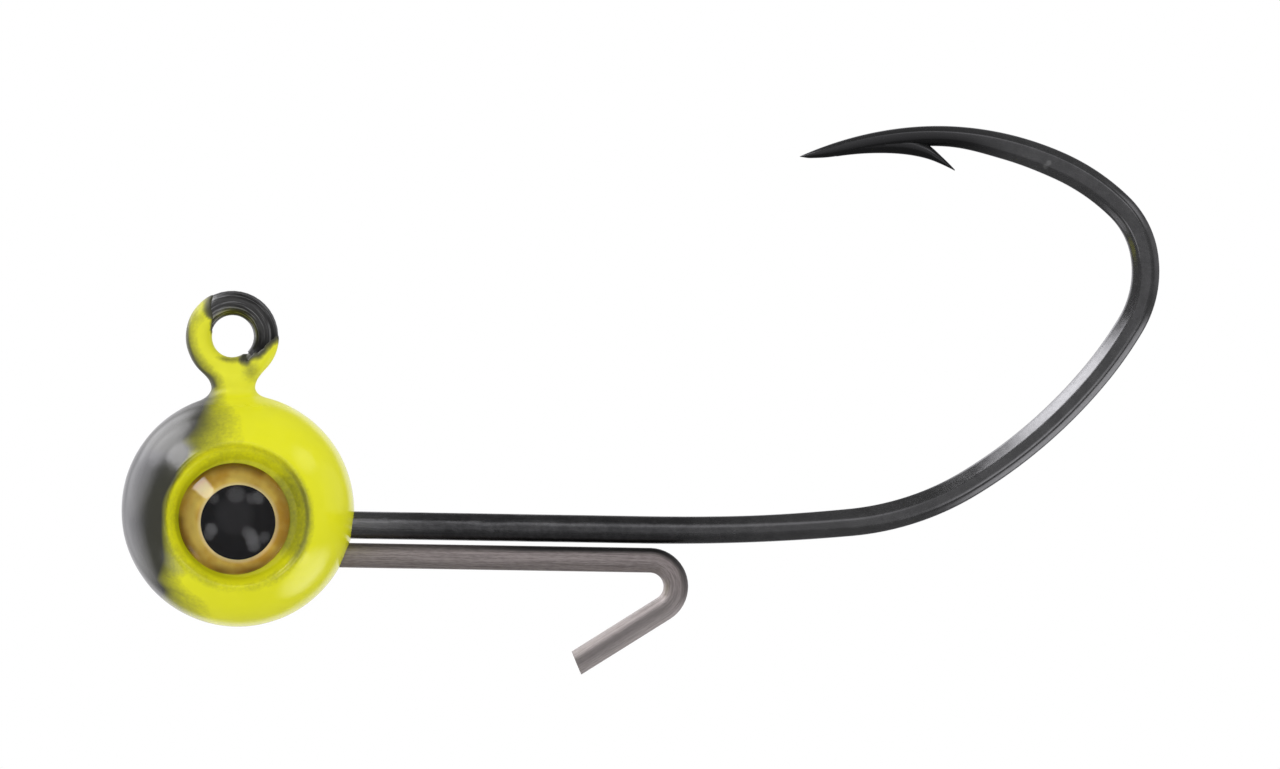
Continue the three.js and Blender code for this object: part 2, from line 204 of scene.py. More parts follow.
# painted shade along the top of the keeper, under the shank
KEEPER_TOP_SHADE = (0.03, 0.03, 0.03, 1)
GOLD = (0.78, 0.44, 0.025, 1), (1.0, 0.74, 0.12, 1)
# the last is painted shade for the foil's outer rim
GOLD_FLECK, GOLD_LIP, GOLD_RIM_SHADE = (1.0, 0.75, 0.26, 1), (1.0, 0.84, 0.45, 1), (0.2, 0.1, 0.006, 1)
PUPIL_BLACK = (0.008, 0.008, 0.009, 1), (0.013, 0.013, 0.015, 1)
FOAM = (0.7, 0.66, 0.56, 1), (0.85, 0.82, 0.74, 1)
ALLOY = (0.22, 0.22, 0.23, 1), (0.36, 0.36, 0.37, 1)
PALE_FLOOR = (0.86, 0.86, 0.86, 1), (0.9, 0.9, 0.9, 1)
WHITE = (1, 1, 1, 1)
STUDIO_WHITE = (0.99, 0.98, 1.015, 1)      # tint of what shiny surfaces reflect

# ---- camera, light and floor ----
VIEW_CENTRE = (14.40, 4.77)                # mm from the ball's middle, at the middle of the picture
VIEW_WIDTH = 46.08                         # mm across the picture
ROLL = math.radians(0.95)
CAMERA_DISTANCE = 600.0
SENSOR_WIDTH = 36
NEAREST_SEEN = 0.01                        # metres
# What shiny surfaces reflect: degrees away from straight in front of the jig, degrees round from
# its right-hand side towards the top, where the panel's even middle ends, where it fades out, and
# its brightness.
SURROUNDINGS = 0.15
PANELS = [
    ((180, 0), 26, 42, 0.9),                                     # white backdrop
    ((5, 90), 8, 42, 0.42), ((35, 88), 3, 18, 1.15),              # room in front, lamp above it
    *[((away, 137), 6, 11, 6.5) for away in range(58, 100, 6)],  # long softbox, upper left
    ((114, 138), 6, 22, 4.0), ((132, 140), 8, 24, 2.4),          # its spill
    ((126, 164), 8, 32, 2.0), ((132, 190), 6, 30, 1.5),          # white wall on the left
    ((108, -42), 8, 24, 2.0), ((92, -36), 3, 9, 2.2),            # lower right
    ((112, 10), 8, 30, 0.45), ((94, 38), 7, 15, 1.2),            # right
    ((91, 220), 5, 14, 1.2),                                     # lower left
    ((27, -46), 1, 12, 1.3), ((34, -45), 2, 12, 1.9),            # small lamps beside the camera
    ((42, -49), 2, 13, 2.1), ((50, -54), 2, 12, 1.5), ((52, -32), 1, 11, 1.1),
    ((38, 52), 1, 11, 1.1), ((46, 43), 2, 12, 1.5),
    ((38, 206), 2, 12, 1.8), ((45, 213), 1, 11, 1.2), ((42, 137), 1, 10, 0.9),
]
CAMERA_SHADOW = ((0, 0), 5, 16, 0.04)
EVEN_LIGHT = 0.92                          # what matt surfaces receive from all round
THROUGH_GLASS = 0.45                       # added for light that comes in through the domes
KEY_WAY = (-0.6, -0.6, 0.8)                # the key light, from the jig
KEY_AIM = (8, 0, 2)                        # what it lights, in mm from the ball's middle
KEY_DISTANCE, KEY_WIDTH, KEY_HEIGHT = 0.35, 0.3, 0.2   # metres
KEY_ENERGY = 0.03
FLOOR_X, FLOOR_Z, FLOOR_RADIUS, FLOOR_SIDES = 14, -13.5, 75, 96


# ---- small helpers ----
def put(points):
    """Millimetres from the middle of the ball to metres in the frame."""
    return np.asarray(points, float) * MM + np.array(BALL)


def smooth_step(low, high, value):
    t = np.clip((value - low) / (high - low), 0, 1)
    return t * t * (3 - 2 * t)


def smooth_curve(table, at):
    """The columns after the first at places along it: smooth, with no kink or overshoot."""
    rows = np.array(table, float)
    gap = np.diff(rows[:, 0])[:, None]
    slope = np.diff(rows, axis=0) / gap
    low, high = slope[:-1], slope[1:]
    both = np.where(low * high > 0, low + high, 1)
    middle = np.where(low * high > 0, 2 * low * high / both, 0)
    tangent = np.vstack([slope[:1], middle, slope[-1:]])
    at = np.clip(at, rows[0, 0], rows[-1, 0])
    i = np.clip(np.searchsorted(rows[:, 0], at) - 1, 0, len(rows) - 2)
    t = ((at - rows[i, 0]) / gap[i, 0])[..., None]
    rise = rows[i + 1] - rows[i]
    start, end = tangent[i] * gap[i], tangent[i + 1] * gap[i]
    value = rows[i] + t * (start + t * (3 * rise - 2 * start - end + t * (start + end - 2 * rise)))
    return np.moveaxis(value, -1, 0)[1:]


def make_piece(name, points, faces, material, attributes=None, uv=None, sharp=None):
    """A smooth-shaded object with one material. The attributes are per point, uv is (length, turn)
    per point of a wire, and sharp is the angle in degrees above which an edge stays hard."""
    mesh = bpy.data.meshes.new(name)
    mesh.from_pydata(put(points).tolist(), [], faces)
    mesh.polygons.foreach_set("use_smooth", [True] * len(mesh.polygons))
    for key, values in (attributes or {}).items():
        layer = mesh.attributes.new(key, "FLOAT", "POINT")
        layer.data.foreach_set("value", np.asarray(values, np.float32))
    if uv is not None:
        add_wire_uv(mesh, uv)
    if sharp is not None:
        mesh.set_sharp_from_angle(angle=math.radians(sharp))
    mesh.materials.append(material)
    mesh.update()
    piece = bpy.data.objects.new(name, mesh)
    bpy.context.scene.collection.objects.link(piece)
    return piece


def add_wire_uv(mesh, uv):
    """Write the wire's coordinates. A face that closes a turn would run back from almost 1 to 0, so
    its points at 0 go up to 1."""
    layer = mesh.uv_layers.new(name="wire")
    loops = np.zeros(len(mesh.loops), int)
    mesh.loops.foreach_get("vertex_index", loops)
    starts = np.zeros(len(mesh.polygons), int)
    mesh.polygons.foreach_get("loop_start", starts)
    places = np.asarray(uv, np.float32)[loops]
    corners = np.diff([*starts, len(loops)])
    furthest = np.repeat(np.maximum.reduceat(places[:, 1], starts), corners)
    places[:, 1] += furthest - places[:, 1] > 0.5
    layer.data.foreach_set("uv", places.ravel())


def ride_and_replace(piece, node):
    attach(piece, "root")
    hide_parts(node)


# ---- wires ----
class Centreline:
    """Arcs and straights joined end to end in the XZ plane."""

    def __init__(self, start, heading, pieces):
        self.arcs, self.length = [], 0
        here = (start[0], start[1], math.radians(heading))
        for length, degrees in pieces:
            self.arcs.append((self.length, length, math.radians(degrees), here))
            here = self.along(here, length, math.radians(degrees), length)
            self.length += length

    @staticmethod
    def along(start, length, turn, distance):
        x, z, heading = start
        bend = turn * distance / length
        chord = distance if abs(bend) < 1e-9 else 2 * math.sin(bend / 2) * distance / bend
        middle = heading + bend / 2
        return x + chord * math.cos(middle), z + chord * math.sin(middle), heading + bend

    def at(self, distance):
        """Place and heading at a distance from the start."""
        begin, length, turn, start = [a for a in self.arcs if a[0] <= max(distance, 0)][-1]
        return self.along(start, length, turn, min(distance - begin, length))


def section_reach(cos, sin, depth, forging, inner, outer):
    """How far a section reaches in each direction, as a share of its oval. A forged section has
    flat faces, rounded edges and a bevel between, which reaches in by inner or outer."""
    bevel = np.where(cos < 0, inner, outer) / (depth / 2)
    along = (np.abs(cos) * (1 - EDGE) + np.abs(sin) * bevel) / (1 - EDGE + EDGE * bevel)
    size = sum(np.abs(face) ** CRISPNESS for face in (cos, sin, along)) ** (1 / CRISPNESS)
    return 1 + forging * (1 / size - 1)


def loft(stations, sides, first_run=0):
    """Points, faces and (length, turn) coordinates of a closed body through sections.

    A station is (x, z, heading, depth, width, shift, forging, inner, outer): depth lies in the XZ
    plane, and shift moves the section to the right of the heading, the outer side of the hook.
    """
    angles = np.arange(sides) * 2 * math.pi / sides
    cos, sin = np.cos(angles), np.sin(angles)
    points, uv, run = [], [], first_run
    for i, (x, z, heading, depth, width, shift, forging, inner, outer) in enumerate(stations):
        if i:
            run += math.hypot(x - stations[i - 1][0], z - stations[i - 1][1])
        reach = section_reach(cos, sin, depth, forging, inner, outer)
        outward = shift + depth / 2 * cos * reach
        points += list(zip(x + outward * math.sin(heading), width / 2 * sin * reach,
                           z - outward * math.cos(heading)))
        uv += [(run, k / sides) for k in range(sides)]
    last = (len(stations) - 1) * sides
    faces = []
    for i in range(len(stations) - 1):
        for k in range(sides):
            a, b = i * sides + k, i * sides + (k + 1) % sides
            faces.append((a, b, b + sides, a + sides))
    faces.append(tuple(reversed(range(sides))))
    faces.append(tuple(last + k for k in range(sides)))
    return points, faces, uv


def on_ring_circle(degrees):
    angle = math.radians(degrees)
    return RING.x + RING_RADIUS * math.cos(angle), RING.z + RING_RADIUS * math.sin(angle)


def hook_line():
    """The hook's centreline: round the ring, down the riser, round the elbow and along the hook."""
    ring_length = RING_RADIUS * math.radians(RING_END - RING_START)
    neck_turn = RING_END - 180
    neck_radius = (RING_RADIUS * math.cos(math.radians(neck_turn))
                   / (1 - math.cos(math.radians(neck_turn))))
    riser_top = on_ring_circle(RING_END)[1] - neck_radius * math.sin(math.radians(neck_turn))
    return Centreline(on_ring_circle(RING_START), RING_START + 90, [
        (ring_length, RING_END - RING_START),
        (neck_radius * math.radians(neck_turn), -neck_turn),
        (riser_top - SHANK_Z - ELBOW_RADIUS, 0),
        (ELBOW_RADIUS * math.radians(90), 90),
        (SHANK_END_X - RING.x - ELBOW_RADIUS, 0),
        *BEND,
    ])


def build_hook(material):
    line = hook_line()
    bend_length = sum(length for length, _ in BEND)
    from_point = np.unique(np.concatenate([
        np.linspace(0, TIP_LENGTH, TIP_SECTIONS),
        np.arange(TIP_LENGTH + FINE_STEP, FINE_LENGTH, FINE_STEP),
        np.arange(FINE_LENGTH, line.length, HOOK_STEP),
        [line.length],
    ]))
    stations = []
    for d in from_point[::-1]:
        depth, width, forging = smooth_curve(SECTIONS, d)
        shift = (WIRE - depth) / 2 if d < bend_length else 0
        stations.append((*line.at(line.length - d), depth - SKIN, width - SKIN, shift, forging,
                         *smooth_curve(BEVELS, d)))
    points, faces, uv = loft(stations, WIRE_SIDES)
    hook = make_piece("hook_wire", points, faces, material, uv=uv)
    stations = []
    for d in np.linspace(BARB[-1][0], BARB[0][0], BARB_SECTIONS):
        top, bottom, width = smooth_curve(BARB, d)
        stations.append((*line.at(line.length - d), bottom - top, width, (WIRE - top - bottom) / 2,
                         0, 0, 0))
    points, faces, uv = loft(stations, BARB_SIDES, line.length - BARB[-1][0])
    spur = make_piece("barb_cut", points, faces, material, uv=uv)
    join = hook.modifiers.new("barb", "BOOLEAN")
    join.operation, join.solver, join.object = "UNION", "EXACT", spur
    bake_modifiers(hook)
    bpy.data.objects.remove(spur)
    hook.data.set_sharp_from_angle(angle=math.radians(50))
    return hook


def bake_modifiers(piece):
    graph = bpy.context.evaluated_depsgraph_get()
    mesh = bpy.data.meshes.new_from_object(piece.evaluated_get(graph))
    piece.modifiers.clear()
    piece.data = mesh


def build_keeper(material):
    line = Centreline(KEEPER_START, 90, KEEPER_PATH)
    distances = np.unique(np.concatenate([np.arange(0, line.length, KEEPER_STEP), [line.length]]))
    size = KEEPER_WIRE - SKIN
    round_wire = (0, 0, 0, 0)              # no shift, forging or bevels
    stations = [(*line.at(d), size, size, *round_wire) for d in distances]
    x, z, heading, *_ = stations[-1]
    cut = math.radians(KEEPER_CUT)
    stations[-1] = (x, z, heading + cut, size / math.cos(cut), size, *round_wire)
    points, faces, uv = loft(stations, WIRE_SIDES)
    return make_piece("keeper_wire_bent", points, faces, material, uv=uv, sharp=40)


# ---- the painted head, as the zero surface of a distance field ----
def soft_min(a, b, radius):
    h = np.clip(0.5 + 0.5 * (b - a) / radius, 0, 1)
    return b + (a - b) * h - radius * h * (1 - h)


def soft_max(a, b, radius):
    return -soft_min(-a, -b, radius)


def wobble(p, scale, seed):
    """Smooth variation between -1 and 1, about scale millimetres from crest to crest."""
    rng = np.random.default_rng(seed)
    waves, slowest, fastest, loudest = 6, 0.6, 1.3, 3.5
    total = 0
    for _ in range(waves):
        direction = rng.normal(size=3)
        direction *= 2 * math.pi / scale / np.linalg.norm(direction) * rng.uniform(slowest, fastest)
        total = total + np.sin(p @ direction + rng.uniform(0, 2 * math.pi))
    return total / loudest


def ring_bare(p):
    """Millimetres inside the bare stretch of the ring: its upper right, past its ragged edges."""
    x, z = p[:, 0] - RING.x, p[:, 2] - RING.z
    inside = np.minimum.reduce([way_x * (x - edge_x) + way_z * (z - edge_z) - offset
                                for (way_x, way_z), (edge_x, edge_z), offset in BARE_EDGES])
    return inside + 0.07 * wobble(p, scale=0.5, seed=3) + 0.03 * wobble(p, scale=0.2, seed=4)


def head_field(p):
    """About how far points are outside the coat: negative inside it."""
    x, y, z = p.T
    ball = np.sqrt((p ** 2).sum(1)) - (BALL_RADIUS - SKIN)
    radius, = smooth_curve(COLLAR, z)
    post = np.hypot(x - COLLAR_X, y / COLLAR_FLATNESS) - (radius - SKIN)
    post = soft_max(post, z - COLLAR[-1][0], COLLAR_ROUNDING)
    post = np.maximum(post, COLLAR[0][0] - COLLAR_ROOT - z)
    painted = 1 - smooth_step(*RING_COAT_EDGE, ring_bare(p))
    lumps = painted * RING_LUMPS * wobble(p, scale=0.9, seed=5)
    tube = BARE_TUBE + painted * RING_COAT + lumps
    across = np.hypot(x - RING.x, z - RING.z) - RING_RADIUS
    ring = np.hypot(across, y) - tube
    body = soft_min(soft_min(ball, post, COLLAR_FILLET), ring, RING_FILLET * painted + BARE_FILLET)
    body = body + BALL_LUMPS * wobble(p, scale=1.6, seed=6)
    for side in (1, -1):
        slope = (SOCKET_RIM_RADIUS - SOCKET_FLOOR_RADIUS) / (SOCKET_RIM - SOCKET_FLOOR)
        out = y * side - SOCKET_FLOOR
        around = np.hypot(x - SOCKET_X, z - SOCKET_Z)
        wall = (around - SOCKET_FLOOR_RADIUS - slope * out) / math.hypot(1, slope)
        socket = soft_max(wall, -out, SOCKET_ROUNDING)
        body = soft_max(body, -socket, RIM_ROUNDING)
        groove = RIM_GROOVE * np.exp(-((around - RIM_LINE) / RIM_LINE_WIDTH) ** 2)
        body = body + groove * smooth_step(SOCKET_FLOOR - GROOVE_REACH, SOCKET_FLOOR, y * side)
    return body


def field_mesh(field, low, high, step):
    """Quads over the zero surface of a field, one vertex in each cell that it crosses."""
    counts = [int(math.ceil((h - l) / step)) + 1 for l, h in zip(low, high)]
    axes = [l + np.arange(n) * step for l, n in zip(low, counts)]
    grid = np.stack(np.meshgrid(*axes, indexing="ij"), -1)
    values = np.empty(counts, np.float32)
    for i in range(counts[0]):
        values[i] = field(grid[i].reshape(-1, 3)).reshape(counts[1:])
    inside = values < 0
    corners = [inside[i:counts[0] - 1 + i, j:counts[1] - 1 + j, k:counts[2] - 1 + k]
               for i in (0, 1) for j in (0, 1) for k in (0, 1)]
    filled = sum(c.astype(np.int8) for c in corners)
    crossed = (filled > 0) & (filled < len(corners))
    number = np.full(crossed.shape, -1)
    number[crossed] = np.arange(crossed.sum())
    total = np.zeros((crossed.sum(), 3))
    hits = np.zeros(crossed.sum())
    faces = []
    # every grid edge that the surface crosses gives one quad, between the four cells round the edge
    for axis in range(3):
        first = [slice(None)] * 3
        second = [slice(None)] * 3
        first[axis], second[axis] = slice(0, -1), slice(1, None)
        a, b = values[tuple(first)], values[tuple(second)]
        at = np.argwhere((a < 0) != (b < 0))
        u, v = [k for k in range(3) if k != axis]
        at = at[(at[:, u] > 0) & (at[:, v] > 0)
                & (at[:, u] < counts[u] - 1) & (at[:, v] < counts[v] - 1)]
        low_value, high_value = a[tuple(at.T)], b[tuple(at.T)]
        crossing = np.array(low) + at * step
        crossing[:, axis] += step * low_value / (low_value - high_value)
        around = []
        for du, dv in ((-1, -1), (0, -1), (0, 0), (-1, 0)):
            cell = at.copy()
            cell[:, u] += du
            cell[:, v] += dv
            index = number[tuple(cell.T)]
            np.add.at(total, index, crossing)
            np.add.at(hits, index, 1)
            around.append(index)
        quads = np.stack(around, 1)
        flip = (low_value < 0) == (axis == 1)
        quads[flip] = quads[flip][:, ::-1]
        faces.append(quads)
    points = total / hits[:, None]
    passes = 4
    for _ in range(passes):
        points = points - off_surface(field, points)
    return points, np.concatenate(faces)


def gradient(field, points):
    width = 0.004
    slope = np.empty_like(points)
    for axis in range(3):
        shift = np.zeros(3)
        shift[axis] = width
        slope[:, axis] = (field(points + shift) - field(points - shift)) / (2 * width)
    return slope


def off_surface(field, points):
    """The step by which each point is off the zero surface, kept short."""
    least_slope, longest = 0.2, 0.05
    slope = gradient(field, points)
    distance = field(points) / np.maximum((slope ** 2).sum(1), least_slope)
    return np.clip(distance, -longest, longest)[:, None] * slope


def black_spray_and_shade(p, normal):
    """How much black covers the yellow, 0 to 1: it was sprayed on from the nose side, and painted
    shade adds to it in the groove along each socket's rim.
    """
    x, z = p[:, 0], p[:, 2]
    solid, reach = smooth_curve(SPRAY_EDGE, z)
    depth = (reach - x + SPRAY_WAVE * wobble(p, scale=1.5, seed=11)) / (reach - solid)
    cover = SOLID_COVER * np.clip(depth, 0, 1) + DEEP_COVER * smooth_step(*DEEP, depth)

    around = np.hypot(x - SOCKET_X, z - SOCKET_Z)
    turn = np.degrees(np.arctan2(z - SOCKET_Z, x - SOCKET_X))
    wall, rim_shade = smooth_curve(SOCKET_SOOT_AND_SHADE, turn)
    outside = smooth_step(SOCKET_RIM_RADIUS - SOCKET_EDGE, SOCKET_RIM_RADIUS, around)
    cover = wall + (cover - wall) * outside
    # painted shade and overspray: the dark line in the groove along the rim
    cover = np.maximum(cover, rim_shade * np.exp(-((around - RIM_SOOT_AND_SHADE) / RIM_SOOT_AND_SHADE_WIDTH) ** 2))

    # on the neck and the ring, the edge towards the nose; on the ring, the lip of its hole, a spot
    # beside the neck, and a smudge along the bare wire
    to_nose = NOSE_X * normal[:, 0] + NOSE_Z * normal[:, 2]
    nose_edge = NOSE_EDGE * smooth_step(*NOSE_TURN, to_nose) * smooth_step(*NECK, z)
    ring_x, ring_z = x - RING.x, z - RING.z
    to_hole = -(ring_x * normal[:, 0] + ring_z * normal[:, 2]) / np.hypot(ring_x, ring_z)
    lip = LIP * smooth_step(*LIP_TURN, to_hole) * smooth_step(*LIP_DEPTH, -ring_z)
    spot = SPOT * np.exp(-((ring_x - SPOT_X) / SPOT_WIDTH) ** 2
                         - ((ring_z - SPOT_Z) / SPOT_HEIGHT) ** 2)
    width = np.where(ring_x > 0, SMUDGE_WIDTH,
                     SMUDGE_LEFT + SMUDGE_SPREAD * smooth_step(*SMUDGE_RISE, ring_z))
    smudge = SMUDGE * (1 - np.clip(-ring_bare(p) / width, 0, 1) ** SMUDGE_FALL)
    marks = np.maximum(np.maximum(lip, spot), smudge) * smooth_step(*RING_FOOT, z)
    return np.maximum(np.maximum(cover, nose_edge), marks)


def build_head(material):
    reach = BALL_RADIUS + HEAD_MARGIN * HEAD_STEP
    points, quads = field_mesh(head_field, (-reach, -reach, -reach),
                               (reach, reach, RING.z + RING_TOP), HEAD_STEP)
    slope = gradient(head_field, points)
    normal = slope / np.linalg.norm(slope, axis=1)[:, None]
    head = make_piece("painted_head", points, quads.tolist(), material,
                      {"spray_and_shade": black_spray_and_shade(points, normal)})
    head.data.normals_split_custom_set_from_vertices(normal.tolist())
    return head


# ---- eyes ----
def turned(profile, side, centre, closed=False):
    """Points and faces of a body turned about the Y axis. The profile is (radius, height); it
    starts and ends on the axis, or it is closed and lies away from the axis."""
    points, rings = [], []
    for radius, height in profile:
        sides = range(EYE_SIDES if radius else 1)
        rings.append([len(points) + k for k in sides])
        for k in sides:
            angle = 2 * math.pi * k / EYE_SIDES
            points.append((centre[0] + radius * math.cos(angle), side * height,
                           centre[1] + radius * math.sin(angle)))
    faces = []
    for one, two in zip(rings, rings[1:] + (rings[:1] if closed else [])):
        for k in range(EYE_SIDES):
            after = k + 1
            corners = dict.fromkeys([one[k % len(one)], two[k % len(two)], two[after % len(two)],
                                     one[after % len(one)]])
            faces.append(tuple(corners if side > 0 else reversed(corners)))
    return points, faces


def build_eye(name, side, looks):
    """The four pieces of the eye on the side of the jig where y has this sign."""
    centre = (EYE_X, EYE_Z)
    pad = turned(PAD_PROFILE, side, centre)
    adhesive = make_piece(f"{name}_adhesive_pad", *pad, looks["adhesive"], sharp=50)

    foil = turned(FOIL_PROFILE, side, centre, closed=True)
    iris = make_piece(f"{name}_foil_iris", *foil, looks["iris"], sharp=60)

    crown = [(PUPIL_RADIUS * math.sin(t), PUPIL_EDGE + PUPIL_RISE * math.cos(t))
             for t in np.linspace(math.pi / 2, 0, PUPIL_STEPS)[:-1]]
    disc = turned([(0, PUPIL_BOTTOM), (PUPIL_RADIUS, PUPIL_BOTTOM), *crown,
                   (0, PUPIL_EDGE + PUPIL_RISE)], side, (PUPIL_X, PUPIL_Z))
    pupil = make_piece(f"{name}_pupil_disc", *disc, looks["pupil"], sharp=60)

    rise = LENS_TOP - SKIN - LENS_EDGE
    curve = (EYE_RADIUS ** 2 + rise ** 2) / (2 * rise)
    sweep = math.asin(EYE_RADIUS / curve)
    cap = [(curve * math.sin(t), LENS_EDGE + rise - curve + curve * math.cos(t))
           for t in np.linspace(sweep, 0, LENS_STEPS)[:-1]]
    dome = turned([(0, LENS_BOTTOM), (EYE_RADIUS - SKIN, LENS_BOTTOM), *cap,
                   (0, LENS_EDGE + rise)], side, centre)
    lens = make_piece(f"{name}_dome", *dome, looks["lens"], sharp=50)
    lens.visible_shadow = False

    for piece, part, slot in ((adhesive, "adhesive", "adhesive"), (iris, "iris", "gold_foil"),
                              (pupil, "pupil", "black_gloss"), (lens, "lens", "clear_resin")):
        ride_and_replace(piece, f"{name}_eye_{part}")


# ---- materials ----
class Nodes:
    """Short ways to add nodes to a node tree."""

    def __init__(self, tree):
        self.tree = tree

    def add(self, kind, inputs=None, **settings):
        node = self.tree.nodes.new(kind)
        for key, value in settings.items():
            setattr(node, key, value)
        for key, value in (inputs or {}).items():
            self.feed(node.inputs[key], value)
        return node

    def feed(self, socket, value):
        if isinstance(value, bpy.types.NodeSocket):
            self.tree.links.new(value, socket)
        else:
            socket.default_value = value

    def math(self, operation, a, b=0.5, c=0.5):
        return self.add("ShaderNodeMath", {0: a, 1: b, 2: c}, operation=operation).outputs[0]

    def plus(self, a, b):
        return self.math("ADD", a, b)

    def minus(self, a, b):
        return self.math("SUBTRACT", a, b)

    def times(self, a, b):
        return self.math("MULTIPLY", a, b)

    def vector(self, operation, a, b=(0, 0, 0), output=0):
        return self.add("ShaderNodeVectorMath", {0: a, 1: b}, operation=operation).outputs[output]

    def ranged(self, value, low, high, to=(0.0, 1.0)):
        """A smooth change between the two ends of to, as the value goes from low to high."""
        return self.add("ShaderNodeMapRange", {"Value": value, "From Min": low, "From Max": high,
                                               "To Min": to[0], "To Max": to[1]},
                        interpolation_type="SMOOTHSTEP").outputs[0]


class Look(Nodes):
    """A material of one shader, and the patterns that feed it."""

    def __init__(self, name):
        self.material = bpy.data.materials.new(name)
        self.material.use_nodes = True
        super().__init__(self.material.node_tree)
        self.shader = next(n for n in self.tree.nodes if n.type == "BSDF_PRINCIPLED")

    def set(self, **values):
        for key, value in values.items():
            self.feed(self.shader.inputs[key.replace("_", " ")], value)

    def mix(self, share, a, b):
        node = self.add("ShaderNodeMix", data_type="RGBA")
        self.feed(node.inputs[0], share)
        self.feed(node.inputs[6], a)
        self.feed(node.inputs[7], b)
        return node.outputs[2]

    def noise(self, vector, scale, detail=3.0, roughness=0.5):
        return self.add("ShaderNodeTexNoise", {"Vector": vector, "Scale": scale, "Detail": detail,
                                               "Roughness": roughness}).outputs["Fac"]

    def place(self):
        """Position on the piece, in millimetres from the ring's middle."""
        here = self.add("ShaderNodeTexCoord").outputs["Object"]
        return self.vector("MULTIPLY", here, (1 / MM,) * 3)

    def from_axis(self, x, z):
        """Distance from a line across the hook's plane, given from the middle of the ball."""
        away = self.vector("SUBTRACT", self.place(), (x - RING.x, 0, z - RING.z))
        return self.vector("LENGTH", self.vector("MULTIPLY", away, (1, 0, 1)), output=1)

    def on_wire(self):
        """Length along a wire in millimetres, and share of a turn round it."""
        here = self.add("ShaderNodeUVMap", uv_map="wire").outputs[0]
        parts = self.add("ShaderNodeSeparateXYZ", {0: here}).outputs
        return parts[0], parts[1]

    def from_side(self, side):
        """Share of a turn between here and one side of a wire."""
        return self.math("ABSOLUTE", self.minus(self.on_wire()[1], side))

    def wire_noise(self, along, around, detail=3.0, roughness=0.5):
        """Noise drawn out along a wire: its scale per millimetre along it and per turn."""
        length, turn = self.on_wire()
        angle = self.times(turn, 2 * math.pi)
        radius = around / (2 * math.pi)
        place = self.add("ShaderNodeCombineXYZ", {
            0: self.times(length, along),
            1: self.times(self.math("COSINE", angle), radius),
            2: self.times(self.math("SINE", angle), radius)}).outputs[0]
        return self.noise(place, 1.0, detail, roughness)

    def bump(self, height, distance_mm):
        node = self.add("ShaderNodeBump", {"Height": height, "Strength": 1.0,
                                           "Distance": distance_mm * MM})
        self.set(Normal=node.outputs[0])


def paint_look():
    """Gloss chartreuse with black sprayed over it and painted shade in the groove along each
    socket's rim, a little less glossy on the ring.
    """
    look = Look("chartreuse_and_black_paint")
    here = look.place()
    spray_and_shade = look.add("ShaderNodeAttribute", attribute_name="spray_and_shade").outputs["Fac"]
    speckle = look.noise(here, scale=8.0, detail=4, roughness=0.65)
    blotch = look.noise(here, scale=2.2, detail=2)
    # the spray's grain shows in the fade, and neither in the solid black nor on the clean yellow
    speckle_share, blotch_share = 0.45, 0.3
    grain = look.math("MULTIPLY_ADD", speckle, speckle_share, look.times(blotch, blotch_share))
    grain = look.times(look.minus(grain, (speckle_share + blotch_share) / 2),
                       look.ranged(spray_and_shade, 0.98, 0.5))
    cover = look.math("MINIMUM", look.math("MAXIMUM", look.plus(grain, spray_and_shade), 0.0), 1.0)
    cover = look.times(cover, look.ranged(spray_and_shade, 0.0, 0.1))
    yellow = look.mix(look.noise(here, scale=0.9), *YELLOWS)
    height = look.add("ShaderNodeSeparateXYZ", {0: here}).outputs[2]
    on_ring = look.ranged(height, -2.7, -2.2, to=(0.0, 0.25))
    look.set(Base_Color=look.mix(cover, yellow, BLACK_PAINT),
             Roughness=look.plus(on_ring, look.ranged(look.noise(here, scale=2.0), 0.3, 0.7,
                                                      to=(0.12, 0.2))))
    look.bump(look.plus(look.noise(here, scale=1.1, detail=2), look.times(speckle, 0.1)), 0.012)
    return look.material


